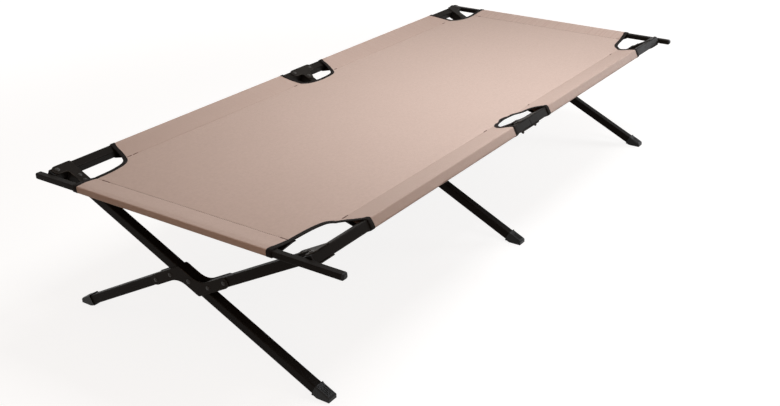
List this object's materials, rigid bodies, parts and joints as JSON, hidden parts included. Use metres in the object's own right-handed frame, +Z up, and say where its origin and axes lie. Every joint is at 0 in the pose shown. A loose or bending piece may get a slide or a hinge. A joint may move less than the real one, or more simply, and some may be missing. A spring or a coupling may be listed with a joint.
{
  "type": "folding camping cot",
  "caption": "Low folding camp bed: cloth sheet stretched between square side rails and end bars, carried on crossed legs hinged at riveted stepped plates.",
  "frame": {"origin": "on the floor, at the centre of the box round the whole cot", "axes": "+X lengthwise towards the head end, -Y towards the near side with the long end of the foot bar, +Z up"},
  "size_m": [1.9958, 0.9424, 0.3971],
  "materials": {
    "tube_coat": "near-black powder coat with a slight sheen on square steel tube",
    "plate_coat": "near-black satin coat on stamped brackets and domed rivets, a little worn at the edges",
    "black_plastic": "matt black moulded plastic caps and plugs",
    "canvas": "dusty pink-tan plain-weave cloth with dark bound edges"
  },
  "bodies": {
    "far_frame": {"far_rail_foot": "tube_coat", "far_rail_head": "tube_coat", "far_rail_plug_foot": "black_plastic", "far_rail_plug_head": "black_plastic", "far_foot_bracket_top": "plate_coat", "far_foot_bracket_bottom": "plate_coat", "straight_leg_foot": "tube_coat", "near_leg_cap_foot": "black_plastic", "far_middle_bracket_top": "plate_coat", "far_middle_bracket_bottom": "plate_coat", "straight_leg_middle": "tube_coat", "near_leg_cap_middle": "black_plastic", "far_head_bracket_top": "plate_coat", "far_head_bracket_bottom": "plate_coat", "straight_leg_head": "tube_coat", "near_leg_cap_head": "black_plastic", "far_cloth_sleeve_foot": "canvas", "far_cloth_sleeve_head": "canvas", "foot_cloth_pocket": "canvas", "head_cloth_pocket": "canvas", "cloth_sheet": "canvas"},
    "near_frame": {"near_rail_foot": "tube_coat", "near_rail_head": "tube_coat", "near_rail_plug_foot": "black_plastic", "near_rail_plug_head": "black_plastic", "near_foot_bracket_top": "plate_coat", "near_foot_bracket_bottom": "plate_coat", "upper_half_leg_foot": "tube_coat", "lower_half_leg_foot": "tube_coat", "foot_scissor_plate_front": "plate_coat", "foot_scissor_plate_back": "plate_coat", "far_leg_cap_foot": "black_plastic", "near_middle_bracket_top": "plate_coat", "near_middle_bracket_bottom": "plate_coat", "upper_half_leg_middle": "tube_coat", "lower_half_leg_middle": "tube_coat", "middle_scissor_plate_front": "plate_coat", "middle_scissor_plate_back": "plate_coat", "far_leg_cap_middle": "black_plastic", "near_head_bracket_top": "plate_coat", "near_head_bracket_bottom": "plate_coat", "upper_half_leg_head": "tube_coat", "lower_half_leg_head": "tube_coat", "head_scissor_plate_front": "plate_coat", "head_scissor_plate_back": "plate_coat", "far_leg_cap_head": "black_plastic", "near_cloth_sleeve_foot": "canvas", "near_cloth_sleeve_head": "canvas"},
    "foot_end_bar": {"foot_bar": "tube_coat", "foot_bar_cap_near": "black_plastic", "foot_bar_cap_far": "black_plastic"},
    "head_end_bar": {"head_bar": "tube_coat", "head_bar_cap_near": "black_plastic", "head_bar_cap_far": "black_plastic"}
  },
  "joints": [
    {"name": "fold", "type": "hinge", "parent": "far_frame", "child": "near_frame", "pos_m": [0, 0.03125, 0.1887], "axis": [-1, 0, 0], "range_deg": [0, 120], "deforming": ["cloth_sheet", "foot_cloth_pocket", "head_cloth_pocket"]},
    {"name": "foot_bar_swing", "type": "hinge", "parent": "far_frame", "child": "foot_end_bar", "pos_m": [-0.9877, 0.43225, 0.3774], "axis": [1, 0, 0], "range_deg": [0, 25.5]},
    {"name": "head_bar_swing", "type": "hinge", "parent": "far_frame", "child": "head_end_bar", "pos_m": [0.9877, 0.43225, 0.3774], "axis": [1, 0, 0], "range_deg": [0, 25.5]}
  ],
  "couplings": [
    {"joint": "foot_bar_swing", "follows": "fold", "ratio": 0.21},
    {"joint": "head_bar_swing", "follows": "fold", "ratio": 0.21}
  ]
}
